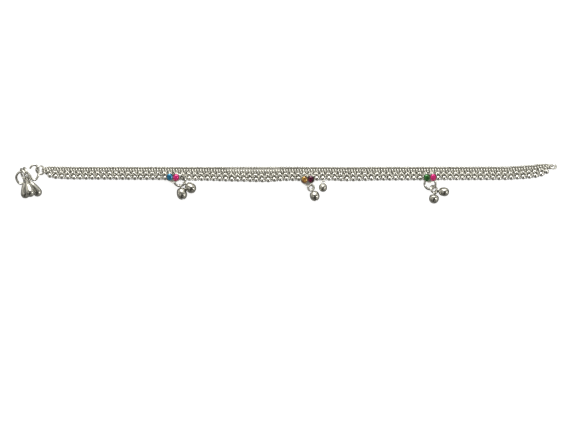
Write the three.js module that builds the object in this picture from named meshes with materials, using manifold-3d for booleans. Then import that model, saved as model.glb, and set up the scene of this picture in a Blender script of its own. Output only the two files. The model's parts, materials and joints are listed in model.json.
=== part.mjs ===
// Silver payal anklet lying open on a flat surface: a woven band with a row of domed beads, three hearts
// with stones, bells on rings, a wire hook at the left end and a ring at the right end.
// Millimetres, +X along the band to the right, +Y across it, +Z up from the surface at z = 0.
import * as THREE from 'three';
import { mergeVertices } from 'three/addons/utils/BufferGeometryUtils.js';
import Module from 'manifold-3d';

const wasm = await Module();
wasm.setup();

// Band
const bandLength = 247.7;
const bandLeftX = -123.45;
const bandWidth = 6.2;
const bandThickness = 1.4;
const latticePitch = 2.98;
const beadAcross = 1.9;
const beadTall = 1.6;
const beadNeckShare = 0.42;
const beadSides = 10;
const rowGap = 0.2;
const lineStep = 0.5;
const weldDistance = 1e-4;

// Wires and rings
const wireSides = 6;
const hookWire = 1.1;
const linkWire = 0.88;
const ringWire = 0.88;
const dropRingRadius = 2.75;
const chainRingRadius = 1.85;
const chainRingWire = 0.85;
const smallRingRadius = 1.4;
const bunchRingRadius = 3.04;
const bunchRingWire = 0.82;
const endRingRadius = 1.25;
const eyeWire = 0.32;
const floorGap = 0.04;
const wireGap = 0.12;
const hookSteps = 36;
const endLinkSteps = 24;
const ringSteps = 14;
const eyeSteps = 12;

// Bells
const bellRadius = 2.5;
const bellWall = 0.35;
const bellSides = 10;
const bellLoopRadius = 0.84;
const bellLoopWire = 0.48;
const bellLoopSteps = 8;
const bellSlitWidth = 0.5;
const bellSlitShare = 0.75;
const bellCollarRadius = 0.7;
const bellAngles = [-1.0, -0.5, 0.05];
const bellShoulders = [{ up: 0.55, out: 0.9 }, { up: 0.87, out: 0.62 }];

// Hearts and stones
const stoneHalfWidth = 1.36;
const stoneHalfHeight = 1.78;
const stoneSpacing = 2.96;
const stoneTall = 1.25;
const stoneFacets = 10;
const stoneGap = 0.12;
const heartSteps = 6;
const stoneTurn = 0.2;
const stoneRise = 0.1;
const rimWall = 0.42;
const lobeOverlap = 0.28;
const plateThickness = 0.5;
const rimTall = 1.15;
const heartGap = 0.12;

// Course of the band: along is a share of its length, lift and width are shares of its width
const bandSections = [
  { along: 0.0, lift: 0.16, width: 0.76 },
  { along: 0.016, lift: 0.09, width: 0.89 },
  { along: 0.056, lift: 0.05, width: 0.93 },
  { along: 0.2, lift: 0.035, width: 0.96 },
  { along: 0.31, lift: 0.0, width: 1.02 },
  { along: 0.381, lift: -0.03, width: 1.1 },
  { along: 0.434, lift: -0.05, width: 1.15 },
  { along: 0.475, lift: 0.0, width: 1.05 },
  { along: 0.56, lift: 0.01, width: 1.0 },
  { along: 0.594, lift: -0.02, width: 1.06 },
  { along: 0.665, lift: 0.015, width: 1.01 },
  { along: 0.8, lift: 0.03, width: 0.99 },
  { along: 0.913, lift: 0.04, width: 0.99 },
  { along: 0.945, lift: 0.11, width: 0.99 },
  { along: 0.961, lift: 0.16, width: 0.985 },
  { along: 0.977, lift: 0.246, width: 1.0 },
  { along: 0.992, lift: 0.38, width: 0.775 },
  { along: 1.0, lift: 0.46, width: 0.57 },
];

// Section of the woven rows: across is a share of their width from the upper edge, up of the thickness
const rowProfile = [
  { across: 0.03, up: 0.0 },
  { across: 0.0, up: 0.42 },
  { across: 0.12, up: 0.94 },
  { across: 0.27, up: 0.62 },
  { across: 0.43, up: 1.0 },
  { across: 0.6, up: 0.52 },
  { across: 0.8, up: 0.86, swing: 0.1 },
  { across: 1.0, up: 0.5 },
  { across: 0.98, up: 0.0 },
];

// Hearts: along is a share of the band's length, rise how far its stones lie over the band's lower edge,
// turn its turn on the surface, tip how far it reaches below the stones
const hearts = [
  { along: 0.2509, rise: 0.99, turn: -0.08, tip: 2.95, left: 0x1a6f98, right: 0xd8377f },
  { along: 0.5186, rise: 0.14, turn: 0.07, tip: 3.7, left: 0xb48a28, right: 0x5a1230 },
  { along: 0.7616, rise: 0.86, turn: 0.05, tip: 2.8, left: 0x1e6b26, right: 0xd8377f },
];

// Rings: right and across are where a ring lies from its heart, or the chained one from the ring that it
// hangs on, eye is the angle where the heart holds it, lean its turn out of the surface
const dropRings = [
  { right: 3.3, across: -1.6, eye: 2.5, lean: 0.2 },
  { right: 1.6, across: -4.0, eye: 2.3, lean: -0.1 },
  { right: 0.05, across: -3.05, eye: 1.45, lean: 0.2 },
];
const chainedRing = { right: 1.95, across: -2.75, rise: -0.2, lean: -0.71 };
const bunchRings = { right: -11.43, across: -0.6, turn: 0.38, lean: -0.3, step: 1.55, count: 2 };
const tipRing = { right: 1.78, across: 0.5, lean: 0.8 };

// Bells: angle is where on its ring a bell hangs, right and across are where its ball lies from the ring's
// centre, size is its size as a share of the largest
const bells = {
  drop_bell_1a: { angle: -1.5, right: 1.2, across: -7.0 },
  drop_bell_1b: { angle: -0.55, right: 5.8, across: -3.8 },
  drop_bell_2a: { angle: -0.95, right: 1.9, across: -4.3, size: 0.96 },
  drop_bell_2b: { angle: 0, right: 0, across: -3.6, size: 0.82 },
  drop_bell_3a: { angle: -0.45, right: -0.1, across: -4.6, size: 0.98 },
  drop_bell_3b: { angle: 0.6, right: 5.35, across: -1.2, size: 0.88 },
  bunch_bell_1: { angle: -0.3, right: 0.9, across: -9.5, size: 0.9 },
  bunch_bell_2: { angle: 0, right: 5.5, across: -9.2, size: 0.9 },
  bunch_bell_3: { angle: 0.72, right: 3.7, across: -8.8, size: 0.92, rise: 7.4 },
};

// The eye at the lower edge of a bead, which holds a bell by itself
const edgeEye = { along: 0.5484, drop: 0.42, rise: 0.95, radius: 0.62 };

// Middle lines of the hook and of the end link, from the band's left end
const hookPath = [
  [-9.8, -4.14, 0.62], [-13.35, -5.08, 0.6], [-14.33, -4.14, 0.55], [-15.22, -1.97, 0.7],
  [-14.24, 0.1, 1.6], [-12.07, 1.0, 2.6], [-10.2, 0.6, 2.04], [-8.22, -1.04, 2.0],
  [-7.14, -3.06, 2.05], [-5.66, -3.3, 1.75], [-4.33, -1.23, 1.55], [-3.98, 1.33, 1.5],
  [-4.62, 3.5, 1.7], [-6.25, 4.24, 1.9], [-7.63, 3.5, 2.1], [-8.32, 2.32, 2.2],
];
const endLinkPath = [
  [-3.3, 3.5, 2.6], [-2.3, 3.55, 1.5], [-1.72, 2.9, 0.9], [-1.7, 1.6, 0.85], [-1.72, 0.3, 0.83],
  [-2.5, -0.35, 0.6], [-4.17, -0.05, 0.5], [-5.05, 0.94, 0.65], [-5.2, 2.02, 1.85], [-4.72, 3.01, 2.85],
];

// The wedge at the band's left end and its knuckle, a short tube round the end link
const knuckle = { right: -1.7, across: 1.6, rise: 0.85, length: 1.9, wall: 0.28 };
const wedge = { right: -1.9, half: 0.95, into: 0.6, tall: 1.3 };

// Section steps of a bead: along is a share of its length, size of its width and height
const beadSteps = [
  { along: 0, size: beadNeckShare },
  { along: 0.28, size: 1 },
  { along: 0.72, size: 1 },
];

// Section of a stone: out is a share of its half width, up of its height; the last rows are its table
const stoneProfile = [
  { out: 0, up: 0 },
  { out: 0.86, up: 0 },
  { out: 1, up: 0.22 },
  { out: 1, up: 0.42 },
  { out: 0.6, up: 1 },
  { out: 0, up: 1 },
];

const silver = new THREE.MeshStandardMaterial({ color: 0xc9c6bb, roughness: 0.28, metalness: 1.0 });
const darkSilver = new THREE.MeshStandardMaterial({ color: 0xb2afa2, roughness: 0.36, metalness: 1.0 });

const anklet = new THREE.Group();
const upward = vector(0, 0, 1);

function vector(x, y, z) {
  return new THREE.Vector3(x, y, z);
}

function solid(geometry) {
  const bare = geometry.clone();
  for (const name of Object.keys(bare.attributes)) {
    if (name !== 'position') bare.deleteAttribute(name);
  }
  const merged = mergeVertices(bare, weldDistance);
  return new wasm.Manifold(new wasm.Mesh({
    numProp: 3,
    vertProperties: new Float32Array(merged.attributes.position.array),
    triVerts: new Uint32Array(merged.index.array),
  }));
}

function geometryOf(body) {
  const mesh = body.getMesh();
  const geometry = new THREE.BufferGeometry();
  geometry.setAttribute('position', new THREE.BufferAttribute(new Float32Array(mesh.vertProperties), 3));
  geometry.setIndex(new THREE.BufferAttribute(new Uint32Array(mesh.triVerts), 1));
  return geometry;
}

function addMesh(name, geometry, material) {
  const mesh = new THREE.Mesh(geometry, material);
  mesh.name = name;
  anklet.add(mesh);
}

// A matrix that takes +Y to up and +Z as near as it can to normal, at a place
function placeFrame(place, up, normal) {
  const y = up.clone().normalize();
  const x = new THREE.Vector3().crossVectors(y, normal).normalize();
  const z = new THREE.Vector3().crossVectors(x, y);
  return new THREE.Matrix4().makeBasis(x, y, z).setPosition(place);
}

// A closed body through rings of points of one count, each ring counter-clockwise seen from its start
function loft(rings) {
  const count = rings[0].length;
  const points = rings.flat();
  const faces = [];
  for (let i = 0; i < rings.length - 1; i += 1) {
    for (let j = 0; j < count; j += 1) {
      const k = (j + 1) % count;
      const a = i * count + j;
      const b = i * count + k;
      faces.push(a, a + count, b, b, a + count, b + count);
    }
  }
  const outline = rings[0].map((p) => new THREE.Vector2(p.y, p.z));
  const ends = THREE.ShapeUtils.triangulateShape(outline, []);
  const last = (rings.length - 1) * count;
  for (const [a, b, c] of ends) {
    faces.push(a, b, c);
    faces.push(last + a, last + c, last + b);
  }
  const geometry = new THREE.BufferGeometry();
  geometry.setAttribute('position', new THREE.Float32BufferAttribute(points.flatMap((p) => [p.x, p.y, p.z]), 3));
  geometry.setIndex(faces);
  return solid(geometry).volume() < 0 ? flipped(geometry) : geometry;
}

function flipped(geometry) {
  const index = geometry.index.array;
  for (let i = 0; i < index.length; i += 3) {
    [index[i], index[i + 1]] = [index[i + 1], index[i]];
  }
  return geometry;
}

// Value of a table column at a share of the band's length, eased between rows
function along(column, share) {
  const rows = bandSections;
  const t = THREE.MathUtils.clamp(share, 0, 1);
  let i = 0;
  while (i < rows.length - 2 && rows[i + 1].along < t) i += 1;
  const span = rows[i + 1].along - rows[i].along;
  const eased = THREE.MathUtils.smoothstep(t, rows[i].along, rows[i].along + span);
  return THREE.MathUtils.lerp(rows[i][column], rows[i + 1][column], eased);
}

function edges(x) {
  const share = (x - bandLeftX) / bandLength;
  const centre = along('lift', share) * bandWidth;
  const width = along('width', share) * bandWidth;
  return { top: centre + width / 2, bottom: centre - width / 2 };
}

function wovenBand() {
  const steps = Math.round(bandLength / (latticePitch / 2));
  const rings = [];
  for (let i = 0; i <= steps; i += 1) {
    const x = bandLeftX + bandLength * i / steps;
    const { top, bottom } = edges(x);
    const width = top - (bottom + beadAcross + rowGap);
    const swing = i % 2 === 0 ? 1 : -1;
    rings.push(rowProfile.map((row) => vector(
      x,
      top - width * (row.across + swing * (row.swing ?? 0)),
      bandThickness * row.up,
    )));
  }
  return solid(loft(rings));
}

// Middle line of the bead row and its beads, a bead for each lattice cell
function beadLine() {
  const points = [];
  for (let x = bandLeftX; x <= bandLeftX + bandLength; x += lineStep) {
    points.push(vector(x, edges(x).bottom + beadAcross / 2, beadTall / 2));
  }
  return new THREE.CatmullRomCurve3(points);
}

const line = beadLine();
const beadCount = Math.floor(line.getLength() / latticePitch);

function beadPlace(i) {
  return line.getPointAt((i + 0.5) / beadCount);
}

function beadRow() {
  const rings = [];
  const count = beadCount * beadSteps.length;
  for (let i = 0; i <= count; i += 1) {
    const step = beadSteps[i % beadSteps.length];
    const share = Math.min(1, (Math.floor(i / beadSteps.length) + step.along) / beadCount);
    const centre = line.getPointAt(share);
    const forward = line.getTangentAt(share);
    const across = vector(-forward.y, forward.x, 0).normalize();
    const ring = [];
    for (let j = 0; j < beadSides; j += 1) {
      const angle = 2 * Math.PI * (j + 0.5) / beadSides;
      ring.push(centre.clone()
        .addScaledVector(across, Math.cos(angle) * step.size * beadAcross / 2)
        .addScaledVector(upward, Math.sin(angle) * step.size * beadTall / 2));
    }
    rings.push(ring);
  }
  return solid(loft(rings));
}

function torus(radius, wire, steps = ringSteps) {
  return new THREE.TorusGeometry(radius, wire / 2, wireSides, steps);
}

// A ring's place: its centre and two directions in its plane
function ringPoint(ring, angle) {
  return ring.centre.clone()
    .addScaledVector(ring.a, ring.radius * Math.cos(angle))
    .addScaledVector(ring.b, ring.radius * Math.sin(angle));
}

function ringTangent(ring, angle) {
  return ring.b.clone().multiplyScalar(Math.cos(angle)).addScaledVector(ring.a, -Math.sin(angle));
}

function ringMatrix(ring) {
  const normal = new THREE.Vector3().crossVectors(ring.a, ring.b);
  return new THREE.Matrix4().makeBasis(ring.a, ring.b, normal).setPosition(ring.centre);
}

function addRing(name, ring) {
  const geometry = torus(ring.radius, ring.wire);
  geometry.applyMatrix4(ringMatrix(ring));
  addMesh(name, geometry, silver);
}

// A bell: a thin ball with a cone to its loop, a slit at the far end, hollow. Loop centre at the origin,
// ball centre at y = -reach
function bellBody(reach, size) {
  const radius = bellRadius * size;
  const neck = reach - bellLoopRadius;
  const shell = (wall) => new THREE.LatheGeometry([
    new THREE.Vector2(0, -reach - radius + wall),
    ...bellAngles.map((angle) => new THREE.Vector2(
      Math.cos(angle) * (radius - wall),
      -reach + Math.sin(angle) * (radius - wall),
    )),
    ...bellShoulders.map((row) => new THREE.Vector2(radius * row.out - wall, -reach + neck * row.up)),
    new THREE.Vector2(bellCollarRadius - wall / 2, -bellLoopRadius - wall),
    new THREE.Vector2(0, -bellLoopRadius - wall),
  ], bellSides);
  const slitLength = 2 * radius * bellSlitShare;
  const slit = new THREE.BoxGeometry(slitLength, radius, bellSlitWidth);
  slit.translate(0, -reach - radius, 0);
  const loop = torus(bellLoopRadius, bellLoopWire, bellLoopSteps);
  return solid(shell(0)).add(solid(loop)).subtract(solid(shell(bellWall))).subtract(solid(slit));
}

// Hangs a bell on a ring, with its ball on the surface or at its own rise
function addBell(name, ring) {
  const { angle, right, across, size = 1, rise = bellRadius * size + floorGap } = bells[name];
  const hold = ringPoint(ring, angle);
  const way = vector(ring.centre.x + right, ring.centre.y + across, rise).sub(hold);
  const play = bellLoopRadius - (bellLoopWire + ring.wire) / 2 - wireGap;
  const reach = way.length() - play;
  way.normalize();
  const geometry = geometryOf(bellBody(reach, size));
  const loopCentre = hold.addScaledVector(way, play);
  geometry.applyMatrix4(placeFrame(loopCentre, way.negate(), ringTangent(ring, angle)));
  const lowest = new THREE.Box3().setFromBufferAttribute(geometry.attributes.position).min.z;
  if (lowest < floorGap) geometry.translate(0, 0, floorGap - lowest);
  addMesh(name, geometry, silver);
}

// Outline of a heart: a round lobe about each stone, and straight sides from both lobes to the tip
function heartShape(tip) {
  const lobe = stoneHalfHeight + stoneGap + rimWall - lobeOverlap;
  const centreX = stoneSpacing / 2;
  const cleft = Math.acos(centreX / lobe);
  const touch = 2 * Math.PI - Math.atan2(tip, centreX) - Math.acos(lobe / Math.hypot(centreX, tip));
  const shape = new THREE.Shape();
  shape.absarc(centreX, 0, lobe, Math.PI - touch, Math.PI - cleft, false);
  shape.absarc(-centreX, 0, lobe, cleft, touch, false);
  shape.lineTo(0, -tip);
  return shape;
}

function pocket(side) {
  const shape = new THREE.Shape();
  shape.absellipse(side * stoneSpacing / 2, stoneRise, stoneHalfWidth + stoneGap, stoneHalfHeight + stoneGap,
    0, 2 * Math.PI, false, -side * stoneTurn);
  const geometry = new THREE.ExtrudeGeometry(shape, { depth: rimTall, bevelEnabled: false, curveSegments: heartSteps });
  geometry.translate(0, 0, plateThickness);
  return geometry;
}

function stone(side) {
  const profile = stoneProfile.map((row) => new THREE.Vector2(row.out, row.up * stoneTall));
  const geometry = new THREE.LatheGeometry(profile, stoneFacets);
  geometry.rotateX(Math.PI / 2);
  geometry.scale(stoneHalfWidth, stoneHalfHeight, 1);
  geometry.rotateZ(-side * stoneTurn);
  geometry.translate(side * stoneSpacing / 2, stoneRise, plateThickness + stoneGap);
  return geometry;
}

// An eye round the wire of a ring, fused to what holds the ring
const eyeRadius = (ringWire + eyeWire) / 2 + wireGap;
const eyeSink = 0.1;

function eyeRound(ring, angle, normal) {
  const eye = torus(eyeRadius, eyeWire, eyeSteps);
  eye.applyMatrix4(placeFrame(ringPoint(ring, angle), normal, ringTangent(ring, angle)));
  return solid(eye);
}

function heartPlace(index) {
  const x = bandLeftX + hearts[index].along * bandLength;
  return { x, y: edges(x).bottom + hearts[index].rise };
}

function addHeart(index, ring) {
  const heart = hearts[index];
  const { eye } = dropRings[index];
  const { x, y } = heartPlace(index);
  const base = ringPoint(ring, eye).z + eyeRadius - eyeSink;
  const body = new THREE.ExtrudeGeometry(heartShape(heart.tip), {
    depth: rimTall, bevelEnabled: false, curveSegments: heartSteps,
  });
  const matrix = new THREE.Matrix4().makeRotationZ(heart.turn).setPosition(x, y, base);
  const tray = geometryOf(solid(body).subtract(solid(pocket(-1))).subtract(solid(pocket(1))));
  tray.applyMatrix4(matrix);
  const joined = solid(tray).add(eyeRound(ring, eye, upward));
  addMesh(`heart_setting_${index + 1}`, geometryOf(joined), darkSilver);
  for (const [name, side] of [['left', -1], ['right', 1]]) {
    const geometry = stone(side);
    geometry.applyMatrix4(matrix);
    const material = new THREE.MeshStandardMaterial({ color: heart[name], roughness: 0.15, metalness: 0.0 });
    addMesh(`stone_${index + 1}_${name}`, geometry, material);
  }
}

// The ring of a drop, with its middle line at a height where its heart holds it
function dropRing(index, radius, held) {
  const { right, across, eye, lean } = dropRings[index];
  const { x, y } = heartPlace(index);
  return {
    centre: vector(x + right, y + across, held - radius * Math.sin(eye) * Math.sin(lean)),
    a: vector(1, 0, 0),
    b: vector(0, Math.cos(lean), Math.sin(lean)),
    radius,
    wire: ringWire,
  };
}

// The large rings lean over the bead row, with the eye between the row and the heart
const overBeads = beadTall + heartGap + eyeRadius + eyeWire / 2;

function firstDrop() {
  const ring = dropRing(0, dropRingRadius, overBeads);
  addRing('drop_ring_1', ring);
  addHeart(0, ring);
  addBell('drop_bell_1a', ring);
  addBell('drop_bell_1b', ring);
}

// The second heart rests on the bead row, with its eye beyond the row's edge
function secondDrop() {
  const ring = dropRing(1, smallRingRadius, beadTall + heartGap - eyeRadius + eyeSink);
  addRing('drop_ring_2', ring);
  addHeart(1, ring);
  addBell('drop_bell_2a', ring);
}

function thirdDrop() {
  const ring = dropRing(2, dropRingRadius, overBeads);
  addRing('drop_ring_3', ring);
  addHeart(2, ring);
  const { right, across, rise, lean } = chainedRing;
  const axis = vector(right, across, 0).normalize();
  const chained = {
    centre: vector(right, across, rise).add(ring.centre),
    a: axis,
    b: vector(-axis.y, axis.x, 0).multiplyScalar(Math.cos(lean)).addScaledVector(upward, Math.sin(lean)),
    radius: chainRingRadius,
    wire: chainRingWire,
  };
  addRing('drop_ring_3b', chained);
  addBell('drop_bell_3a', chained);
  addBell('drop_bell_3b', chained);
}

// The eye stands at the bead nearest to its place along the band
function edgeEyeRing() {
  const x = bandLeftX + edgeEye.along * bandLength;
  let bead = beadPlace(0);
  for (let i = 1; i < beadCount; i += 1) {
    const next = beadPlace(i);
    if (Math.abs(next.x - x) < Math.abs(bead.x - x)) bead = next;
  }
  return {
    centre: vector(bead.x, bead.y - beadAcross / 2 - edgeEye.drop, edgeEye.rise),
    a: vector(0, -1, 0),
    b: upward,
    radius: edgeEye.radius,
    wire: eyeWire,
  };
}

function pathFrom(points, closed) {
  return new THREE.CatmullRomCurve3(points.map(([x, y, z]) => vector(bandLeftX + x, y, z)), closed);
}

function hook() {
  const section = new THREE.Shape();
  section.absarc(0, 0, hookWire / 2, 0, 2 * Math.PI, false);
  return new THREE.ExtrudeGeometry(section, {
    steps: hookSteps, extrudePath: pathFrom(hookPath, false), curveSegments: wireSides / 2, bevelEnabled: false,
  });
}

function endLink() {
  return new THREE.TubeGeometry(pathFrom(endLinkPath, true), endLinkSteps, linkWire / 2, wireSides, true);
}

function endWedge() {
  const near = bandLeftX + wedge.right;
  const { top, bottom } = edges(bandLeftX);
  const shape = new THREE.Shape();
  shape.moveTo(near, knuckle.across - wedge.half);
  shape.lineTo(bandLeftX - rowGap, bottom + wedge.half);
  shape.lineTo(bandLeftX - rowGap, bottom + beadAcross + rowGap);
  shape.lineTo(bandLeftX + wedge.into, bottom + beadAcross + rowGap);
  shape.lineTo(bandLeftX + wedge.into, top);
  shape.lineTo(near, knuckle.across + wedge.half);
  return solid(new THREE.ExtrudeGeometry(shape, { depth: wedge.tall, bevelEnabled: false }));
}

function knuckleTube() {
  const bore = linkWire / 2 + wireGap;
  const outer = bore + knuckle.wall;
  const tube = new THREE.CylinderGeometry(outer, outer, knuckle.length, beadSides);
  const hole = new THREE.CylinderGeometry(bore, bore, knuckle.length + 4 * knuckle.wall, beadSides);
  for (const shape of [tube, hole]) shape.translate(bandLeftX + knuckle.right, knuckle.across, knuckle.rise);
  return [solid(tube), solid(hole)];
}

// The end ring leans in the eye at the band's tip
function endRing() {
  const tipX = bandLeftX + bandLength;
  const { top, bottom } = edges(tipX);
  const { right, across, lean } = tipRing;
  return {
    centre: vector(
      tipX + right,
      (top + bottom) / 2 + across,
      endRingRadius * Math.sin(lean) + ringWire / 2 + floorGap,
    ),
    a: vector(-1, 0, 0),
    b: vector(0, -Math.cos(lean), Math.sin(lean)),
    radius: endRingRadius,
    wire: ringWire,
  };
}

// The bunch of three bells on two rings that stand on the surface and lean
function bunch() {
  const { right, across, turn, lean, step, count } = bunchRings;
  const down = vector(Math.sin(turn), -Math.cos(turn), 0);
  const sideways = vector(down.y, -down.x, 0);
  const standing = vector(0, 0, Math.cos(lean)).addScaledVector(sideways, Math.sin(lean));
  const height = bunchRingRadius * Math.cos(lean) + bunchRingWire / 2 + floorGap;
  const rings = [];
  for (let i = 0; i < count; i += 1) {
    rings.push({
      centre: vector(bandLeftX + right, across, height).addScaledVector(sideways, -step * i),
      a: down,
      b: standing,
      radius: bunchRingRadius,
      wire: bunchRingWire,
    });
    addRing(`bunch_ring_${i + 1}`, rings[i]);
  }
  const [first, second] = rings;
  addBell('bunch_bell_1', first);
  addBell('bunch_bell_2', second);
  addBell('bunch_bell_3', first);
}

function bandWithEnds(ring) {
  const [tube, hole] = knuckleTube();
  return wovenBand().add(endWedge()).add(tube).add(eyeRound(ring, 0, vector(-1, 0, 0))).subtract(hole);
}

function beadsWithEye(ring) {
  const eye = torus(ring.radius, ring.wire, eyeSteps);
  eye.applyMatrix4(ringMatrix(ring));
  return beadRow().add(solid(eye));
}

const lastRing = endRing();
const lowerEye = edgeEyeRing();
addMesh('woven_band', geometryOf(bandWithEnds(lastRing)), darkSilver);
addMesh('bead_row', geometryOf(beadsWithEye(lowerEye)), silver);
addMesh('end_link_left', endLink(), silver);
addMesh('s_hook', hook(), silver);
bunch();
firstDrop();
secondDrop();
addBell('drop_bell_2b', lowerEye);
thirdDrop();
addRing('end_ring_right', lastRing);

export default anklet;
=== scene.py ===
import json
import math
import bmesh
import bpy
import numpy as np
from mathutils import Matrix, Vector


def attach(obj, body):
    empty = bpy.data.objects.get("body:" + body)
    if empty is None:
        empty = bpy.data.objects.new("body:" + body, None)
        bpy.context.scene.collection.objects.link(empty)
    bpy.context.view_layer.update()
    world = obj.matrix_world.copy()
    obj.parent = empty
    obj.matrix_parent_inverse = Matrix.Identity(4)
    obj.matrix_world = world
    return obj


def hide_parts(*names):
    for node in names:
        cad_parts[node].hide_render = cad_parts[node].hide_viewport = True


# A silver payal anklet lying open: woven band, row of polished beads, heart charms with stones, bells on
# rings and a wire hook. Metres, +X along the band, +Z up from the surface. Places and sizes come from the
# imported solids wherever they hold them.
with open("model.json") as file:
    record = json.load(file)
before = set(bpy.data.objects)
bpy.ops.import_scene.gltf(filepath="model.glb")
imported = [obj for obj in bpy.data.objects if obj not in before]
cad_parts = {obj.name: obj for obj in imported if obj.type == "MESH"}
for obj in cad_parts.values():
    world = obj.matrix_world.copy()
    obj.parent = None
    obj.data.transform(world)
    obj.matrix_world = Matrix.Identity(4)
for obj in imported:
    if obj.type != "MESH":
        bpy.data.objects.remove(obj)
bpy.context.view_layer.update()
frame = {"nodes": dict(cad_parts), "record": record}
mm = 0.001
print("frame loaded:", len(frame["nodes"]), "nodes")


# Working helpers

def deselectAll():
    if bpy.context.object and bpy.context.object.mode != "OBJECT":
        bpy.ops.object.mode_set(mode="OBJECT")
    bpy.ops.object.select_all(action="DESELECT")


def pick(*pieces):
    deselectAll()
    for piece in pieces:
        piece.select_set(True)
    bpy.context.view_layer.objects.active = pieces[0]


def settle(piece):  # puts the place, turn and scale into the mesh
    pick(piece)
    bpy.ops.object.transform_apply(location=True, rotation=True, scale=True)


def moveMesh(piece, matrix):
    piece.data.transform(matrix)
    if matrix.to_3x3().determinant() < 0:
        piece.data.flip_normals()


def joinAll(name, pieces):
    pick(*pieces)
    bpy.ops.object.join()
    piece = bpy.context.object
    piece.name = name
    piece.data.name = name
    return piece


def editWhole(piece):
    pick(piece)
    bpy.ops.object.mode_set(mode="EDIT")
    bpy.ops.mesh.select_all(action="SELECT")


def leaveEdit():
    bpy.ops.object.mode_set(mode="OBJECT")


def addModifier(piece, kind, **values):
    pick(piece)
    modifier = piece.modifiers.new(kind.title(), kind)
    for key, value in values.items():
        setattr(modifier, key, value)
    bpy.ops.object.modifier_apply(modifier=modifier.name)


def roundEdges(piece, width, segments, degrees):  # only the edges that turn by more than the degrees
    angle = math.radians(degrees)
    addModifier(piece, "BEVEL", width=width, segments=segments, limit_method="ANGLE", angle_limit=angle)


def smooth(piece, degrees=None):
    pick(piece)
    if degrees is None:
        bpy.ops.object.shade_smooth()
    else:
        bpy.ops.object.shade_smooth_by_angle(angle=math.radians(degrees))


def finishPiece(piece, material, node):
    piece.data.materials.clear()
    piece.data.materials.append(material)
    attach(piece, "root")
    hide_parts(node)


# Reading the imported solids

read = {
    "digits": 7,  # decimal places that points are rounded to, in metres
    "levelDigits": 6,
    "wireSides": 6,
    "levelGap": 0.004 * mm,  # points on one flat level differ by less than this
    "topShare": 0.9,  # the beads' ridge lies in the highest part of the bead row
    "bellLoop": 1.4 * mm,  # how much of a bell's end is its loop
    "heartFoot": 0.05 * mm,  # a heart's eye lies lower than its plate by more than this
    "heartRim": 12,
    "heartShift": 0.1 * mm,  # the stones sit this much towards the lobes
}


def nodePoints(name):
    mesh = frame["nodes"][name].data
    points = np.array([v.co[:] for v in mesh.vertices])
    return np.unique(np.round(points, read["digits"]), axis=0)


def principal(points):  # middle of the points and their three main directions, least spread first
    middle = points.mean(axis=0)
    _, ways = np.linalg.eigh(np.cov((points - middle).T))
    return middle, ways.T


def ringOf(name):  # the middle, axis, radius and wire of a packed ring
    points = nodePoints(name)
    middle, ways = principal(points)
    offsets = points - middle
    normal = ways[0]
    radius = np.linalg.norm(offsets - np.outer(offsets @ normal, normal), axis=1).mean()
    wire = np.abs(offsets @ normal).max() / math.sin(2 * math.pi / read["wireSides"])
    return {"middle": Vector(middle), "normal": Vector(normal), "radius": radius, "wire": wire}


def onRing(ring, near):  # the nearest point of a ring's middle line, and the wire's direction there
    out = Vector(near) - ring["middle"]
    out -= ring["normal"] * out.dot(ring["normal"])
    out.normalize()
    return ring["middle"] + out * ring["radius"], ring["normal"].cross(out)


def basis(x, y, z, place):  # the matrix that takes a piece's own axes and origin to these
    turn = Matrix((x, y, z)).transposed().to_4x4()
    turn.translation = place
    return turn


# Camera, light and floor

view = {
    "lens": 200.0,
    "sensor": 36.0,
    "across": 284.9 * mm,
    "middleX": -4.19 * mm,
    "middleY": -20.95 * mm,
    "farthest": 20.0,
}


def addCamera():
    height = view["across"] * view["lens"] / view["sensor"]
    deselectAll()
    bpy.ops.object.camera_add(location=(view["middleX"], view["middleY"], height), rotation=(0, 0, 0))
    camera = bpy.context.object
    camera.data.lens = view["lens"]
    camera.data.sensor_width = view["sensor"]
    camera.data.clip_end = view["farthest"]
    bpy.context.scene.camera = camera


studio = {
    "key": {"at": (-0.08, 0.72, 0.56), "size": (0.6, 0.42), "power": 4.6},
    "side": {"at": (0.6, -0.1, 0.5), "size": (0.12, 0.3), "power": 0.8},
    "floorSize": 6.0,
    "floorPale": 0.5,
    "floorInMetal": 0.4,
    "floorGlow": 0.86,
    "floorRoughness": 0.9,
    "floorShine": 0.1,
    "roomScale": 1.6,
    "roomDetail": 1.0,
    "roomWays": {"Y": 0.3, "Z": -0.22},
    "roomSteps": ((0.14, 0.07), (0.28, 0.28), (0.42, 0.75), (0.6, 1.0)),
    "roomTint": (1.0, 0.98, 0.92),
}


def addLight(name):
    row = studio[name]
    deselectAll()
    at = Vector(row["at"])
    bpy.ops.object.light_add(type="AREA", location=at, rotation=at.to_track_quat("Z", "Y").to_euler())
    light = bpy.context.object
    light.name = name + "Light"
    light.data.shape = "RECTANGLE"
    light.data.size, light.data.size_y = row["size"]
    light.data.energy = row["power"]


def addFloor():
    deselectAll()
    bpy.ops.mesh.primitive_plane_add(size=studio["floorSize"])
    floor = bpy.context.object
    floor.name = "paleFloor"
    material = bpy.data.materials.new("paleFloor")
    material.use_nodes = True
    nodes, links = material.node_tree.nodes, material.node_tree.links
    shader = nodes["Principled BSDF"]
    shader.inputs["Roughness"].default_value = studio["floorRoughness"]
    shader.inputs["Specular IOR Level"].default_value = studio["floorShine"]
    shader.inputs["Emission Color"].default_value = (1, 1, 1, 1)
    rays = nodes.new("ShaderNodeLightPath")  # the floor looks pale, and the metal sees a darker room in it
    pale = nodes.new("ShaderNodeMapRange")
    pale.inputs["To Min"].default_value = studio["floorInMetal"]
    pale.inputs["To Max"].default_value = studio["floorPale"]
    glow = nodes.new("ShaderNodeMapRange")
    glow.inputs["To Max"].default_value = studio["floorGlow"]
    for step, socket in ((pale, "Base Color"), (glow, "Emission Strength")):
        links.new(rays.outputs["Is Camera Ray"], step.inputs["Value"])
        links.new(step.outputs["Result"], shader.inputs[socket])
    floor.data.materials.append(material)


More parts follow.
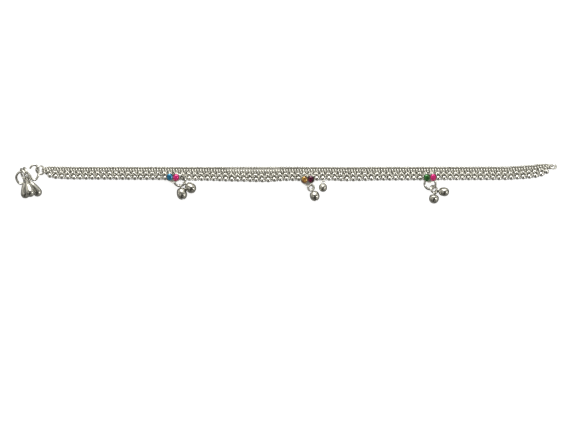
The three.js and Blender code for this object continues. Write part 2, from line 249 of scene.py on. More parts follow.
def setWorld():
    world = bpy.data.worlds.new("paleRoom")
    bpy.context.scene.world = world
    world.use_nodes = True
    nodes, links = world.node_tree.nodes, world.node_tree.links
    background = nodes["Background"]
    coords = nodes.new("ShaderNodeTexCoord")
    split = nodes.new("ShaderNodeSeparateXYZ")
    patches = nodes.new("ShaderNodeTexNoise")  # soft bright and dark parts of a room, seen only in the metal
    patches.inputs["Scale"].default_value = studio["roomScale"]
    patches.inputs["Detail"].default_value = studio["roomDetail"]
    links.new(coords.outputs["Generated"], split.inputs["Vector"])
    links.new(coords.outputs["Generated"], patches.inputs["Vector"])
    height = patches.outputs["Fac"]
    for axis, weight in studio["roomWays"].items():  # bright all round and towards the window, dark overhead
        step = nodes.new("ShaderNodeMath")
        step.operation = "MULTIPLY_ADD"
        step.inputs[1].default_value = weight
        links.new(split.outputs[axis], step.inputs[0])
        links.new(height, step.inputs[2])
        height = step.outputs["Value"]
    ramp = nodes.new("ShaderNodeValToRGB")
    steps = ramp.color_ramp.elements
    while len(steps) < len(studio["roomSteps"]):
        steps.new(0.5)
    for step, (position, level) in zip(steps, studio["roomSteps"]):
        step.position = position
        step.color = (*(level * part for part in studio["roomTint"]), 1)
    links.new(height, ramp.inputs["Fac"])
    links.new(ramp.outputs["Color"], background.inputs["Color"])


addCamera()
for lightName in ("key", "side"):
    addLight(lightName)
addFloor()
setWorld()
bpy.context.scene.view_settings.view_transform = "Standard"
print("camera, lights and floor placed")


# Silver: tarnish gathers where the metal is closed in, and drifts in soft patches

def newGroup(name, inputs, outputs):
    group = bpy.data.node_groups.new(name, "ShaderNodeTree")
    for socketName, kind, value in inputs:
        socket = group.interface.new_socket(socketName, in_out="INPUT", socket_type=kind)
        socket.default_value = value
    for socketName, kind in outputs:
        group.interface.new_socket(socketName, in_out="OUTPUT", socket_type=kind)
    start = group.nodes.new("NodeGroupInput")
    end = group.nodes.new("NodeGroupOutput")
    return group, start, end


tarnishLook = {
    "colour": (0.16, 0.145, 0.11),
    "closedFrom": 0.75,
    "closedTo": 0.25,
    "closedSamples": 6,
    "patchFrom": 0.48,
    "patchTo": 0.72,
    "patchMost": 0.5,
    "patchDetail": 4,
    "grainScale": 2600,
    "grainDetail": 3,
    "grainDeep": 0.1 * mm,
}


def tarnishGroup():
    group, start, end = newGroup(
        "silverTarnish",
        [
            ("Clean", "NodeSocketColor", (0.8, 0.8, 0.78, 1)),
            ("Tarnish", "NodeSocketColor", (0.1, 0.09, 0.07, 1)),
            ("Reach", "NodeSocketFloat", 0.5 * mm),
            ("Patch Scale", "NodeSocketFloat", 300.0),
            ("Amount", "NodeSocketFloat", 0.5),
            ("Polish", "NodeSocketFloat", 0.12),
            ("Dullness", "NodeSocketFloat", 0.3),
        ],
        [("Color", "NodeSocketColor"), ("Roughness", "NodeSocketFloat"), ("Height", "NodeSocketFloat")],
    )
    nodes, links = group.nodes, group.links
    coords = nodes.new("ShaderNodeTexCoord")
    closed = nodes.new("ShaderNodeAmbientOcclusion")
    closed.samples = tarnishLook["closedSamples"]
    links.new(start.outputs["Reach"], closed.inputs["Distance"])
    recess = nodes.new("ShaderNodeMapRange")
    recess.inputs["From Min"].default_value = tarnishLook["closedFrom"]
    recess.inputs["From Max"].default_value = tarnishLook["closedTo"]
    links.new(closed.outputs["AO"], recess.inputs["Value"])
    patches = nodes.new("ShaderNodeTexNoise")
    patches.inputs["Detail"].default_value = tarnishLook["patchDetail"]
    links.new(coords.outputs["Object"], patches.inputs["Vector"])
    links.new(start.outputs["Patch Scale"], patches.inputs["Scale"])
    drift = nodes.new("ShaderNodeMapRange")
    drift.inputs["From Min"].default_value = tarnishLook["patchFrom"]
    drift.inputs["From Max"].default_value = tarnishLook["patchTo"]
    drift.inputs["To Max"].default_value = tarnishLook["patchMost"]
    links.new(patches.outputs["Fac"], drift.inputs["Value"])
    both = nodes.new("ShaderNodeMath")
    both.operation = "MAXIMUM"
    links.new(recess.outputs["Result"], both.inputs[0])
    links.new(drift.outputs["Result"], both.inputs[1])
    share = nodes.new("ShaderNodeMath")
    share.operation = "MULTIPLY"
    links.new(both.outputs["Value"], share.inputs[0])
    links.new(start.outputs["Amount"], share.inputs[1])
    blend = nodes.new("ShaderNodeMix")
    blend.data_type = "RGBA"
    links.new(share.outputs["Value"], blend.inputs["Factor"])
    links.new(start.outputs["Clean"], blend.inputs["A"])
    links.new(start.outputs["Tarnish"], blend.inputs["B"])
    rough = nodes.new("ShaderNodeMapRange")
    links.new(share.outputs["Value"], rough.inputs["Value"])
    links.new(start.outputs["Polish"], rough.inputs["To Min"])
    links.new(start.outputs["Dullness"], rough.inputs["To Max"])
    grain = nodes.new("ShaderNodeTexNoise")
    grain.inputs["Scale"].default_value = tarnishLook["grainScale"]
    grain.inputs["Detail"].default_value = tarnishLook["grainDetail"]
    links.new(coords.outputs["Object"], grain.inputs["Vector"])
    links.new(blend.outputs["Result"], end.inputs["Color"])
    links.new(rough.outputs["Result"], end.inputs["Roughness"])
    links.new(grain.outputs["Fac"], end.inputs["Height"])
    return group


tarnish = tarnishGroup()

silvers = {
    "wovenSilver": {
        "clean": (0.97, 0.96, 0.89), "amount": 0.25, "polish": 0.3, "dullness": 0.4,
        "patches": 500, "reach": 0.35 * mm, "grain": 0.02,
    },
    # the core strip's darker colour is painted shade for the gaps of the weave
    "shadeCoreSilver": {
        "clean": (0.6, 0.59, 0.53), "amount": 0.4, "polish": 0.45, "dullness": 0.6,
        "patches": 900, "reach": 0.5 * mm, "grain": 0.4,
    },
    "beadSilver": {
        "clean": (0.93, 0.92, 0.85), "amount": 0.65, "polish": 0.08, "dullness": 0.3,
        "patches": 700, "reach": 0.8 * mm, "grain": 0.02,
    },
    "wireSilver": {
        "clean": (0.85, 0.84, 0.77), "amount": 0.6, "polish": 0.13, "dullness": 0.35,
        "patches": 420, "reach": 0.6 * mm, "grain": 0.02,
    },
    "bellSilver": {
        "clean": (0.58, 0.57, 0.51), "amount": 0.75, "polish": 0.1, "dullness": 0.32,
        "patches": 420, "reach": 0.8 * mm, "grain": 0.02,
    },
    "settingSilver": {
        "clean": (0.68, 0.67, 0.61), "amount": 0.7, "polish": 0.25, "dullness": 0.45,
        "patches": 600, "reach": 0.8 * mm, "grain": 0.1,
    },
}


def silver(name, row):
    material = bpy.data.materials.new(name)
    material.use_nodes = True
    nodes, links = material.node_tree.nodes, material.node_tree.links
    shader = nodes["Principled BSDF"]
    shader.inputs["Metallic"].default_value = 1.0
    effect = nodes.new("ShaderNodeGroup")
    effect.node_tree = tarnish
    effect.inputs["Clean"].default_value = (*row["clean"], 1)
    effect.inputs["Tarnish"].default_value = (*tarnishLook["colour"], 1)
    effect.inputs["Reach"].default_value = row["reach"]
    effect.inputs["Patch Scale"].default_value = row["patches"]
    effect.inputs["Amount"].default_value = row["amount"]
    effect.inputs["Polish"].default_value = row["polish"]
    effect.inputs["Dullness"].default_value = row["dullness"]
    relief = nodes.new("ShaderNodeBump")
    relief.inputs["Strength"].default_value = row["grain"]
    relief.inputs["Distance"].default_value = tarnishLook["grainDeep"]
    links.new(effect.outputs["Color"], shader.inputs["Base Color"])
    links.new(effect.outputs["Roughness"], shader.inputs["Roughness"])
    links.new(effect.outputs["Height"], relief.inputs["Height"])
    links.new(relief.outputs["Normal"], shader.inputs["Normal"])
    return material


silverFinish = {name: silver(name, row) for name, row in silvers.items()}


# Cut stones: foil behind coloured glass, with cells of a bright and a deep colour painted on as glints, so
# that each facet looks bright or dark

stoneLook = {"roughness": 0.08, "foil": 0.35, "coat": 0.8, "coatRoughness": 0.03, "glintCellScale": 1100}


def stoneMaterial(name, bright, deep):
    material = bpy.data.materials.new(name)
    material.use_nodes = True
    nodes, links = material.node_tree.nodes, material.node_tree.links
    shader = nodes["Principled BSDF"]
    shader.inputs["Roughness"].default_value = stoneLook["roughness"]
    shader.inputs["Metallic"].default_value = stoneLook["foil"]
    shader.inputs["Coat Weight"].default_value = stoneLook["coat"]
    shader.inputs["Coat Roughness"].default_value = stoneLook["coatRoughness"]
    coords = nodes.new("ShaderNodeTexCoord")
    # cells that pick the bright or the deep colour: painted glints of the facets
    glintCells = nodes.new("ShaderNodeTexVoronoi")
    glintCells.inputs["Scale"].default_value = stoneLook["glintCellScale"]
    split = nodes.new("ShaderNodeSeparateColor")
    blend = nodes.new("ShaderNodeMix")
    blend.data_type = "RGBA"
    blend.inputs["A"].default_value = (*deep, 1)
    blend.inputs["B"].default_value = (*bright, 1)
    links.new(coords.outputs["Object"], glintCells.inputs["Vector"])
    links.new(glintCells.outputs["Color"], split.inputs["Color"])
    links.new(split.outputs["Red"], blend.inputs["Factor"])
    links.new(blend.outputs["Result"], shader.inputs["Base Color"])
    return material


stoneColours = {  # the bright and the deep colour of each stone, mixed in cells as painted glints on its facets
    "stone_blue": ((0.03, 0.32, 0.58), (0.01, 0.07, 0.16)),
    "stone_pink": ((1.0, 0.04, 0.3), (0.62, 0.015, 0.17)),
    "stone_yellow": ((0.72, 0.47, 0.06), (0.28, 0.08, 0.05)),
    "stone_maroon": ((0.22, 0.01, 0.07), (0.03, 0.004, 0.015)),
    "stone_green": ((0.05, 0.3, 0.05), (0.01, 0.06, 0.015)),
}
stoneFinish = {name: stoneMaterial(name, *pair) for name, pair in stoneColours.items()}
print("materials made")


# What repeats: a template mesh copied to many places as one joined mesh

def strew(name, template, places):
    points = np.array([v.co[:] for v in template.data.vertices])
    faces = [tuple(p.vertices) for p in template.data.polygons]
    allPoints, allFaces = [], []
    for place in places:
        turn = np.array(place)
        allPoints.append(points @ turn[:3, :3].T + turn[:3, 3])
        first = (len(allPoints) - 1) * len(points)
        allFaces += [tuple(first + i for i in face) for face in faces]
    mesh = bpy.data.meshes.new(name)
    mesh.from_pydata(np.concatenate(allPoints).tolist(), [], allFaces)
    piece = bpy.data.objects.new(name, mesh)
    bpy.context.collection.objects.link(piece)
    bpy.data.objects.remove(template)
    smooth(piece)
    return piece


def addTorus(radius, wire, around, across):
    deselectAll()
    bpy.ops.mesh.primitive_torus_add(
        major_radius=radius, minor_radius=wire, major_segments=around, minor_segments=across,
    )
    return bpy.context.object


# Woven band: each row is one chain of links. A row has its place across the band as a share of the width, its
# link's radius, wire and height in mm, its stretch across the band, its lean and slant in degrees, and its
# shift along the pitch. The arms lie next to the beads and slant one way and then the other.

weave = {
    "pitch": 1.33 * mm,
    "sides": (12, 6),
    "rows": [
        {
            "share": 0.04, "radius": 0.47, "wire": 0.25, "up": 0.66, "stretch": 0.58,
            "lean": 22, "slant": 0, "shift": 0.5,
        },
        {
            "share": 0.48, "radius": 0.4, "wire": 0.34, "up": 0.75, "stretch": 1.65,
            "lean": 62, "slant": 14, "shift": 0.0,
        },
    ],
    "arms": [
        {
            "share": 0.88, "radius": 0.46, "wire": 0.31, "up": 0.8, "stretch": 1.8,
            "lean": 58, "slant": 38, "shift": 0.0,
        },
    ],
    "fullWidth": 3.6 * mm,  # links are narrower where the band is
    "edgeStations": 90,
    "edgeReach": 0.8 * mm,
    "edgeSlack": 0.05 * mm,
    "tips": ((-125.2, 2.55, 0.65), (124.9, 4.4, 2.5)),  # x and both edges at the ends of the weave, in mm
    "coreTall": 0.4 * mm,
    "coreStations": 180,
    # Shares of the width and of the height, round the strip
    "coreSection": ((0.04, 0.2), (0.0, 0.6), (0.06, 1.0), (1.1, 1.0), (1.22, 0.6), (1.2, 0.2)),
}


def seatsOfBeads():  # where each bead has its top, and its direction, from the two points of its ridge
    points = nodePoints("bead_row")
    top = np.median(points[points[:, 2] > read["topShare"] * points[:, 2].max()][:, 2])
    ridge = points[np.abs(points[:, 2] - top) < read["levelGap"]]
    ridge = ridge[np.argsort(ridge[:, 0])]
    pairs = ridge[: len(ridge) // 2 * 2].reshape(-1, 2, 3)
    return pairs.mean(axis=1), pairs[:, 1] - pairs[:, 0]


beadSeats, beadWays = seatsOfBeads()
beadPitch = float(np.median(np.diff(beadSeats[:, 0])))
print("bead seats:", len(beadSeats), "pitch", round(beadPitch / mm, 3))


def wovenEdges():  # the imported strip's upper and lower edge along X, run on over the end plates
    points = nodePoints("woven_band")
    low, high = beadSeats[0][0] - beadPitch / 2, beadSeats[-1][0] + beadPitch / 2
    slack = weave["edgeSlack"]
    points = points[(points[:, 0] > low - slack) & (points[:, 0] < high + slack)]
    stations = np.linspace(low, high, weave["edgeStations"])
    tops, bottoms = [], []
    for x in stations:
        near = points[np.abs(points[:, 0] - x) < weave["edgeReach"]]
        tops.append(near[:, 1].max())
        bottoms.append(near[:, 1].min())
    (firstX, firstTop, firstLow), (lastX, lastTop, lastLow) = np.array(weave["tips"]) * mm
    along = np.concatenate(([firstX], stations, [lastX]))
    return along, np.array([firstTop, *tops, lastTop]), np.array([firstLow, *bottoms, lastLow])


edgeX, edgeTop, edgeLow = wovenEdges()


def acrossBand(x, share):  # y at a share of the woven width from its upper edge, and that width
    top = np.interp(x, edgeX, edgeTop)
    low = np.interp(x, edgeX, edgeLow)
    return top + (low - top) * share, top - low


def rowPlaces(row, pitch, flip):  # one matrix for each link, along the band's own course
    places = []
    slant, lean = math.radians(row["slant"]), math.radians(row["lean"])
    count = int((edgeX[-1] - edgeX[0]) / pitch - row["shift"])
    for i in range(count):
        x = edgeX[0] + pitch * (i + 0.5 + row["shift"])
        y, width = acrossBand(x, row["share"])
        ahead, _ = acrossBand(x + pitch, row["share"])
        course = math.atan2(ahead - y, pitch)
        size = min(1.0, width / weave["fullWidth"])
        swing = -slant if flip and i % 2 else slant
        turn = Matrix.Rotation(course + swing, 4, "Z") @ Matrix.Rotation(lean, 4, "Y")
        places.append(Matrix.Translation((x, y, row["up"] * mm)) @ turn @ Matrix.Diagonal((1, size, 1, 1)))
    return places


def makeRows():
    chains = []
    sets = [(row, weave["pitch"], False) for row in weave["rows"]]
    sets += [(row, beadPitch / 2, True) for row in weave["arms"]]
    for row, pitch, flip in sets:
        link = addTorus(row["radius"] * mm, row["wire"] * mm, *weave["sides"])
        link.scale = (1.0, row["stretch"], 1.0)
        settle(link)
        chains.append(strew("wovenRows", link, rowPlaces(row, pitch, flip)))
    return joinAll("wovenRows", chains)


def makeCore():  # a thin dark strip under the links, where the weave is too dense to see through; its darker colour is painted shade in the gaps between links
    stations = np.linspace(edgeX[0], edgeX[-1], weave["coreStations"])
    section = weave["coreSection"]
    points, faces = [], []
    for x in stations:
        for share, up in section:
            y, _ = acrossBand(x, share)
            points.append((x, y, up * weave["coreTall"]))
    count = len(section)
    for i in range(len(stations) - 1):
        for j in range(count):
            k = (j + 1) % count
            a, b = i * count, (i + 1) * count
            faces.append((a + j, a + k, b + k, b + j))
    faces.append(tuple(range(count)))
    faces.append(tuple(reversed(range(len(points) - count, len(points)))))
    mesh = bpy.data.meshes.new("bandCore")
    mesh.from_pydata(points, [], faces)
    core = bpy.data.objects.new("bandCore", mesh)
    bpy.context.collection.objects.link(core)
    editWhole(core)
    bpy.ops.mesh.normals_make_consistent(inside=False)
    leaveEdit()
    smooth(core, degrees=30)
    return core


finishPiece(makeRows(), silverFinish["wovenSilver"], "woven_band")
finishPiece(makeCore(), silverFinish["shadeCoreSilver"], "woven_band")


# Ends of the band: a plate that narrows to the knuckle of the end link, and one to the eye of the end ring

ends = {
    "plateTall": 0.7 * mm,
    "plateUp": 0.08 * mm,
    "plateSlope": 0.15,
    "plateBevel": 0.3 * mm,
    "left": (  # outline in mm, as for the right
        (-125.45, 0.7), (-123.6, -0.75), (-123.2, -0.5), (-122.4, 0.9),
        (-122.3, 3.5), (-123.4, 3.45), (-125.45, 2.5),
    ),
    "right": ((122.9, 4.7), (122.9, 3.0), (124.2, 2.3), (124.7, 2.8), (124.75, 3.9), (124.3, 4.4)),
    "knuckle": {
        "at": (-125.15, 1.6, 0.85), "long": 1.9 * mm, "outer": 0.84 * mm, "bore": 0.56 * mm,
        "bevel": 0.07 * mm, "sides": 24,
    },
    "eyeRadius": 0.72 * mm,
    "eyeWire": 0.19 * mm,
    "eyeSides": (24, 8),
}


def endPlate(side):
    rim = [(x * mm, y * mm, 0) for x, y in ends[side]]
    mesh = bpy.data.meshes.new(side + "EndPlate")
    mesh.from_pydata(rim, [], [tuple(range(len(rim)))])
    plate = bpy.data.objects.new(side + "EndPlate", mesh)
    bpy.context.collection.objects.link(plate)
    editWhole(plate)
    bpy.ops.mesh.extrude_region_move(TRANSFORM_OT_translate={"value": (0, 0, ends["plateTall"])})
    bpy.ops.mesh.select_all(action="SELECT")
    bpy.ops.mesh.normals_make_consistent(inside=False)
    leaveEdit()
    middle = sum(y for _, y, _ in rim) / len(rim)
    for point in plate.data.vertices:  # the top falls away from the bead row
        if point.co.z > 0:
            point.co.z -= ends["plateSlope"] * (point.co.y - middle)
    roundEdges(plate, ends["plateBevel"], segments=3, degrees=30)
    moveMesh(plate, Matrix.Translation((0, 0, ends["plateUp"])))
    smooth(plate, degrees=50)
    return plate


def makeKnuckle():
    row = ends["knuckle"]
    deselectAll()
    bpy.ops.mesh.primitive_cylinder_add(
        vertices=row["sides"], radius=row["outer"], depth=row["long"], end_fill_type="NOTHING",
    )
    tube = bpy.context.object
    addModifier(tube, "SOLIDIFY", thickness=row["outer"] - row["bore"], offset=-1)
    roundEdges(tube, row["bevel"], segments=2, degrees=40)
    moveMesh(tube, Matrix.Translation(Vector(row["at"]) * mm) @ Matrix.Rotation(math.radians(90), 4, "X"))
    smooth(tube, degrees=50)
    return tube


def eyeOn(ring, near):  # a small eye round the wire of a ring
    place, tangent = onRing(ring, near)
    eye = addTorus(ends["eyeRadius"], ends["eyeWire"], *ends["eyeSides"])
    moveMesh(eye, Matrix.Translation(place) @ tangent.to_track_quat("Z", "Y").to_matrix().to_4x4())
    smooth(eye)
    return eye


def makeTipEye():  # on the side of the end ring that is nearest to the right plate
    near = (ends["right"][0][0] * mm, ends["right"][3][1] * mm, mm)
    return eyeOn(ringOf("end_ring_right"), near)


tipEye = makeTipEye()
endPieces = [endPlate("left"), endPlate("right"), makeKnuckle(), tipEye]
finishPiece(joinAll("bandEnds", endPieces), silverFinish["wireSilver"], "woven_band")
print("woven band made")


# Bead row

bead = {
    "long": 2.35 * mm,
    "wide": 2.4 * mm,
    "tall": 1.62 * mm,
    "lower": 0.3 * mm,
    "sides": (14, 9),
    "spacer": {"radius": 0.4 * mm, "sides": (10, 6), "lower": 0.68 * mm, "up": 0.12 * mm},
    "loop": {"radius": 0.52 * mm, "wire": 0.2 * mm, "sides": (12, 6), "higher": 0.35 * mm, "lean": 70},
    "eye": {"x": 12.45 * mm, "radius": 0.62 * mm, "lower": 1.37 * mm, "up": 0.95 * mm},
}


def turnAlong(way):
    return Matrix.Rotation(math.atan2(way[1], way[0]), 4, "Z")


def beadCentres():
    centres = beadSeats.copy()
    centres[:, 1] -= bead["lower"]
    centres[:, 2] = bead["tall"] / 2
    return centres


def gapsOfBeads():  # the middle between each bead and the next, and the way from one to the other
    centres = beadCentres()
    return zip((centres[:-1] + centres[1:]) / 2, centres[1:] - centres[:-1])


def addBall(radius, segments, rings):
    deselectAll()
    bpy.ops.mesh.primitive_uv_sphere_add(segments=segments, ring_count=rings, radius=radius)
    return bpy.context.object


def makeBeads():
    ball = addBall(0.5, *bead["sides"])
    ball.rotation_euler = (0, math.radians(90), 0)
    settle(ball)
    ball.scale = (bead["long"], bead["wide"], bead["tall"])
    settle(ball)
    places = [Matrix.Translation(seat) @ turnAlong(way) for seat, way in zip(beadCentres(), beadWays)]
    return strew("domedBeads", ball, places)


def makeSpacers():  # a small grain between the lower sides of two beads
    row = bead["spacer"]
    grain = addBall(row["radius"], *row["sides"])
    places = []
    for middle, _ in gapsOfBeads():
        place = (middle[0], middle[1] - row["lower"], row["radius"] + row["up"])
        places.append(Matrix.Translation(place))
    return strew("spacerBeads", grain, places)


def makeBeadLoops():  # a loop between two beads that holds them to the band
    row = bead["loop"]
    ring = addTorus(row["radius"], row["wire"], *row["sides"])
    places = []
    for middle, way in gapsOfBeads():
        place = (middle[0], middle[1] + row["higher"], middle[2])
        turn = turnAlong(way) @ Matrix.Rotation(math.radians(row["lean"]), 4, "Y")
        places.append(Matrix.Translation(place) @ turn)
    return strew("beadLoops", ring, places)


def makeEdgeEye():  # holds a bell under one bead
    row = bead["eye"]
    seat = min(beadCentres(), key=lambda centre: abs(centre[0] - row["x"]))
    eye = addTorus(row["radius"], ends["eyeWire"], *ends["eyeSides"])
    place = Vector((seat[0], seat[1] - row["lower"], row["up"]))
    moveMesh(eye, Matrix.Translation(place) @ Matrix.Rotation(math.radians(90), 4, "Y"))
    smooth(eye)
    return eye


beadPiece = joinAll("domedBeads", [makeBeads(), makeSpacers(), makeBeadLoops(), makeEdgeEye()])
finishPiece(beadPiece, silverFinish["beadSilver"], "bead_row")
print("bead row made")


# Wires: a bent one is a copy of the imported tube, merged, turned to quads and rounded, and a ring is made
# anew. Both grow a little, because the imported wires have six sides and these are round.

wires = {
    "bent": {"s_hook": 0.14 * mm, "end_link_left": 0.1 * mm},
    "merge": 0.002 * mm,
    "quadAngle": 60,
    "levels": 2,
    "rings": (
        "bunch_ring_1", "bunch_ring_2", "drop_ring_1", "drop_ring_2", "drop_ring_3", "drop_ring_3b",
        "end_ring_right",
    ),
    "ringGrow": 0.11 * mm,
    "ringSides": (40, 10),
}


def makeBentWire(node, grow):
    mesh = frame["nodes"][node].data.copy()
    piece = bpy.data.objects.new(node + "_wire", mesh)
    bpy.context.collection.objects.link(piece)
    editWhole(piece)
    bpy.ops.mesh.remove_doubles(threshold=wires["merge"])
    angle = math.radians(wires["quadAngle"])
    bpy.ops.mesh.tris_convert_to_quads(face_threshold=angle, shape_threshold=angle)
    bpy.ops.transform.shrink_fatten(value=grow)
    leaveEdit()
    addModifier(piece, "SUBSURF", levels=wires["levels"], render_levels=wires["levels"])
    smooth(piece)
    return piece


def makeRing(node):
    ring = ringOf(node)
    piece = addTorus(ring["radius"], ring["wire"] + wires["ringGrow"], *wires["ringSides"])
    turn = ring["normal"].to_track_quat("Z", "Y").to_matrix().to_4x4()
    moveMesh(piece, Matrix.Translation(ring["middle"]) @ turn)
    piece.name = node + "_wire"
    smooth(piece)
    return piece


for node, grow in wires["bent"].items():
    finishPiece(makeBentWire(node, grow), silverFinish["wireSilver"], node)
for node in wires["rings"]:
    finishPiece(makeRing(node), silverFinish["wireSilver"], node)
print("hook and rings made")


# Bells

bell = {
    "loopRadius": 0.84 * mm,
    "loopWire": 0.24 * mm,
    "loopSides": (24, 8),
    "wall": 0.3 * mm,
    "slitWide": 0.5 * mm,
    "slitLong": 1.45,  # shares of the ball's radius
    "slitTall": 1.1,
    "segments": 28,
    "ballSteps": 8,
    "neckSteps": 10,
    "collar": 0.6 * mm,
    "crown": ((0.3 * mm, 0.12 * mm), (0.0, 0.14 * mm)),  # out and up, over the collar
    "shoulder": 2.4,  # how far up the ball stays wide
    "taper": 0.36,  # how slowly it narrows after that
    "squat": 1.9,
    "merge": 0.005 * mm,
}
bellNodes = [name for name in frame["nodes"] if "_bell_" in name]


def bellOf(node):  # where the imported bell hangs, which way it lies and how its loop is turned
    points = nodePoints(node)
    middle, ways = principal(points)
    axis = ways[2]
    along = (points - middle) @ axis
    out = points - middle - np.outer(along, axis)
    radii = np.linalg.norm(out, axis=1)
    if along[radii.argmax()] > 0:  # the axis points from the ball to the loop
        axis, along = -axis, -along
    radius = radii.max()
    loopReach = bell["loopRadius"] + bell["loopWire"]
    loopAt = middle + axis * (along.max() - loopReach)
    reach = along.max() - along.min() - loopReach - radius
    loop = points[along > along.max() - read["bellLoop"]]
    _, loopWays = principal(loop)
    hole = Vector(min(loopWays, key=lambda way: np.abs((loop - loop.mean(axis=0)) @ way).max()))
    up = Vector(axis)
    hole = (hole - up * hole.dot(up)).normalized()
    return {"loop": Vector(loopAt), "up": up, "hole": hole, "reach": reach, "radius": radius}


def bellProfile(radius, reach):  # from the bottom up to the collar, round below and drawn in above
    points = []
    for i in range(bell["ballSteps"] + 1):
        angle = -math.pi / 2 * (1 - i / bell["ballSteps"])
        points.append((radius * math.cos(angle), -reach + radius * math.sin(angle)))
    neck = reach - bell["loopRadius"]
    squat = min(1.0, bell["squat"] * radius / neck)  # a long bell is drawn in sooner
    for i in range(1, bell["neckSteps"] + 1):
        share = i / bell["neckSteps"]
        width = radius * (1 - share ** (bell["shoulder"] * squat)) ** (bell["taper"] / squat)
        points.append((max(width, bell["collar"]), -reach + neck * share))
    points += [(out, up - bell["loopRadius"]) for out, up in bell["crown"]]
    return points


def makeBell(node):
    shape = bellOf(node)
    radius, reach = shape["radius"], shape["reach"]
    profile = bellProfile(radius, reach)
    mesh = bpy.data.meshes.new(node + "_shell")
    edges = [(i, i + 1) for i in range(len(profile) - 1)]
    mesh.from_pydata([(x, 0, z) for x, z in profile], edges, [])
    shell = bpy.data.objects.new(node + "_shell", mesh)
    bpy.context.collection.objects.link(shell)
    editWhole(shell)
    bpy.ops.mesh.spin(steps=bell["segments"], angle=2 * math.pi, center=(0, 0, 0), axis=(0, 0, 1))
    bpy.ops.mesh.select_all(action="SELECT")
    bpy.ops.mesh.remove_doubles(threshold=bell["merge"])
    bpy.ops.mesh.normals_make_consistent(inside=False)
    leaveEdit()
    addModifier(shell, "SOLIDIFY", thickness=bell["wall"], offset=-1)
    deselectAll()
    bpy.ops.mesh.primitive_cube_add(size=1, location=(0, 0, -reach - radius))
    cutter = bpy.context.object
    cutter.scale = (bell["slitLong"] * radius, bell["slitWide"], bell["slitTall"] * radius)
    settle(cutter)
    addModifier(shell, "BOOLEAN", object=cutter, operation="DIFFERENCE", solver="EXACT")
    bpy.data.objects.remove(cutter)
    smooth(shell, degrees=40)
    loop = addTorus(bell["loopRadius"], bell["loopWire"], *bell["loopSides"])
    loop.rotation_euler = (math.radians(90), 0, 0)
    settle(loop)
    smooth(loop)
    piece = joinAll(node + "_shell", [shell, loop])
    side = shape["hole"].cross(shape["up"])
    moveMesh(piece, basis(side, shape["hole"], shape["up"], shape["loop"]))
    return piece


for node in bellNodes:
    finishPiece(makeBell(node), silverFinish["bellSilver"], node)
print("bells made:", len(bellNodes))


# Hearts and stones

heart = {
    "rings": {1: "drop_ring_1", 2: "drop_ring_2", 3: "drop_ring_3"},
    "wall": 0.26 * mm,
    "lobe": 2.04 * mm,
    "tray": 0.7 * mm,
    "bevel": 0.13 * mm,
    "steps": 26,
}


def heartOf(index):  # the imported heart's middle, directions, height and reach to its tip
    sides = []
    for side in ("left", "right"):
        points = nodePoints(f"stone_{index}_{side}")
        sides.append(Vector(points.mean(axis=0)))
    points = nodePoints(f"heart_setting_{index}")
    levels, counts = np.unique(np.round(points[:, 2], read["levelDigits"]), return_counts=True)
    rims = levels[counts >= read["heartRim"]]  # the flat levels, which hold a whole outline of points
    base, top = rims.min(), rims.max()
    right = sides[1] - sides[0]
    half = right.length / 2
    right.z = 0
    right.normalize()
    up = Vector((-right.y, right.x, 0))
    middle = (sides[0] + sides[1]) / 2 - up * read["heartShift"]
    middle.z = base
    flat = points[points[:, 2] > base - read["levelGap"]]
    tip = -min((Vector(p) - middle).dot(up) for p in flat)
    eyePoints = points[points[:, 2] < base - read["heartFoot"]]
    return {
        "middle": middle, "right": right, "up": up, "half": half, "tall": top - base, "tip": tip,
        "eye": eyePoints.mean(axis=0),
    }


def heartOutline(lobe, half, tip, steps):  # round the left lobe, over the tip by tangents, round the right
    reach = math.hypot(half, tip)
    toTip = 2 * math.pi - math.atan2(tip, half)
    first = math.acos(half / lobe)
    last = toTip - math.acos(lobe / reach)
    left = []
    for i in range(steps + 1):
        angle = first + (last - first) * i / steps
        left.append((-half + lobe * math.cos(angle), lobe * math.sin(angle)))
    right = [(-x, y) for x, y in reversed(left[1:])]
    return left + [(0.0, -tip)] + right


def makeHeart(index):
    shape = heartOf(index)
    outline = heartOutline(heart["lobe"], shape["half"], shape["tip"], heart["steps"])
    mesh = bpy.data.meshes.new(f"heartSetting{index}")
    count = len(outline)
    edges = [(i, (i + 1) % count) for i in range(count)]
    mesh.from_pydata([(x, y, 0) for x, y in outline], edges, [])
    body = bpy.data.objects.new(f"heartSetting{index}", mesh)
    bpy.context.collection.objects.link(body)
    editWhole(body)
    bpy.ops.mesh.edge_face_add()
    bpy.ops.mesh.normals_make_consistent(inside=False)
    bpy.ops.mesh.extrude_region_move(TRANSFORM_OT_translate={"value": (0, 0, shape["tall"])})
    bpy.ops.mesh.inset(thickness=heart["wall"], use_even_offset=True)
    bpy.ops.mesh.extrude_region_move(TRANSFORM_OT_translate={"value": (0, 0, -heart["tray"])})
    bpy.ops.mesh.select_all(action="SELECT")
    bpy.ops.mesh.normals_make_consistent(inside=False)
    leaveEdit()
    roundEdges(body, heart["bevel"], segments=3, degrees=40)
    smooth(body, degrees=50)
    moveMesh(body, basis(shape["right"], shape["up"], Vector((0, 0, 1)), shape["middle"]))
    return joinAll(f"heartSetting{index}", [body, eyeOn(ringOf(heart["rings"][index]), shape["eye"])])


for index in heart["rings"]:
    finishPiece(makeHeart(index), silverFinish["settingSilver"], f"heart_setting_{index}")

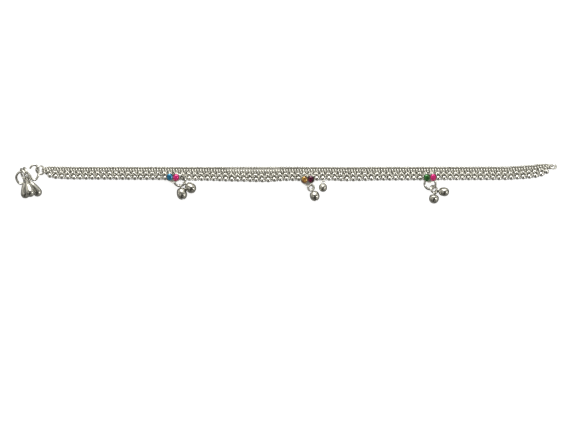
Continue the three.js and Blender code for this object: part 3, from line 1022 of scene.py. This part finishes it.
stoneCut = {
    "halfWide": 1.5 * mm,
    "halfTall": 1.84 * mm,
    "tall": 1.25 * mm,
    "sides": 12,
    "girdle": 0.5,  # share of the height
    "facets": ((0.32, 0.8), (0.18, 0.66)),  # rise and size of each ring of facets
    "upright": 0.9,
    "spread": 1.58 * mm,
    "higher": 0.1 * mm,
    "up": 0.5 * mm,
    "turn": 0.2,  # in radians, the lower ends towards each other
}
slotOf = {row["node"]: row["material_slot"] for row in frame["record"]["subparts"]}


def makeStone(index, side):  # a flat table in two rings of facets over a girdle
    shape = heartOf(index)
    sign = -1 if side == "left" else 1
    girdle = stoneCut["girdle"]
    deselectAll()
    bpy.ops.mesh.primitive_cylinder_add(
        vertices=stoneCut["sides"], radius=1, depth=girdle, location=(0, 0, girdle / 2),
    )
    cut = bpy.context.object
    settle(cut)
    editWhole(cut)
    bpy.ops.mesh.select_all(action="DESELECT")
    body = bmesh.from_edit_mesh(cut.data)
    for face in body.faces:
        face.select_set(face.normal.z > stoneCut["upright"])
    bmesh.update_edit_mesh(cut.data)
    halfSide = math.pi / stoneCut["sides"]
    for rise, size in stoneCut["facets"]:
        bpy.ops.mesh.extrude_region_move(TRANSFORM_OT_translate={"value": (0, 0, rise)})
        bpy.ops.transform.resize(value=(size, size, 1))
        bpy.ops.transform.rotate(value=halfSide, orient_axis="Z", center_override=(0, 0, 0))
    bpy.ops.mesh.select_all(action="SELECT")
    bpy.ops.mesh.quads_convert_to_tris()
    bpy.ops.mesh.normals_make_consistent(inside=False)
    leaveEdit()
    cut.name = f"stone{index}{side.title()}"
    cut.data.name = cut.name
    sized = Matrix.Diagonal((stoneCut["halfWide"], stoneCut["halfTall"], stoneCut["tall"], 1))
    seat = Matrix.Translation((sign * stoneCut["spread"], stoneCut["higher"], stoneCut["up"]))
    turned = seat @ Matrix.Rotation(-sign * stoneCut["turn"], 4, "Z") @ sized
    moveMesh(cut, basis(shape["right"], shape["up"], Vector((0, 0, 1)), shape["middle"]) @ turned)
    return cut


for index in heart["rings"]:
    for side in ("left", "right"):
        node = f"stone_{index}_{side}"
        finishPiece(makeStone(index, side), stoneFinish[slotOf[node]], node)
print("hearts and stones made")


# Bring the scene up to date
bpy.context.view_layer.update()
